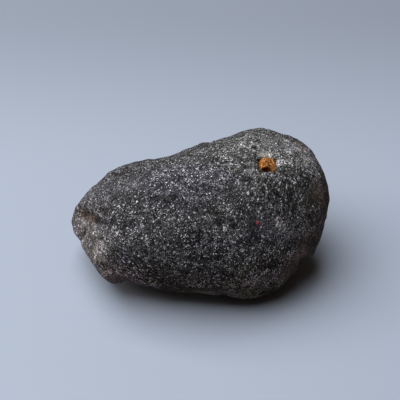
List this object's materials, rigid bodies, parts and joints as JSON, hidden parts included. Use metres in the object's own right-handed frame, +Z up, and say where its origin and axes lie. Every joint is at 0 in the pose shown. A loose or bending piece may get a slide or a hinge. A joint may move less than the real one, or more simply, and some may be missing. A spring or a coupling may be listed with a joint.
{
  "type": "tektite",
  "caption": "Pear-shaped pebble of dark, frosted natural glass with a clay-filled bubble pit, resting on a small worn flat.",
  "frame": {"origin": "under the middle of the stone's bounding box, on the surface it rests on", "axes": "+X along the stone from the narrow nose to the broad end, +Y to the back, +Z up"},
  "size_m": [0.0415, 0.028, 0.0223],
  "materials": {
    "tektite_glass": "near-black natural glass, frosted all over by fine etched pits, with pale flecks, brown at the thin nose",
    "laterite_clay": "dry orange laterite clay, granular and matt"
  },
  "bodies": {
    "root": {"stone": "tektite_glass", "pit_clay": "laterite_clay"}
  },
  "joints": []
}
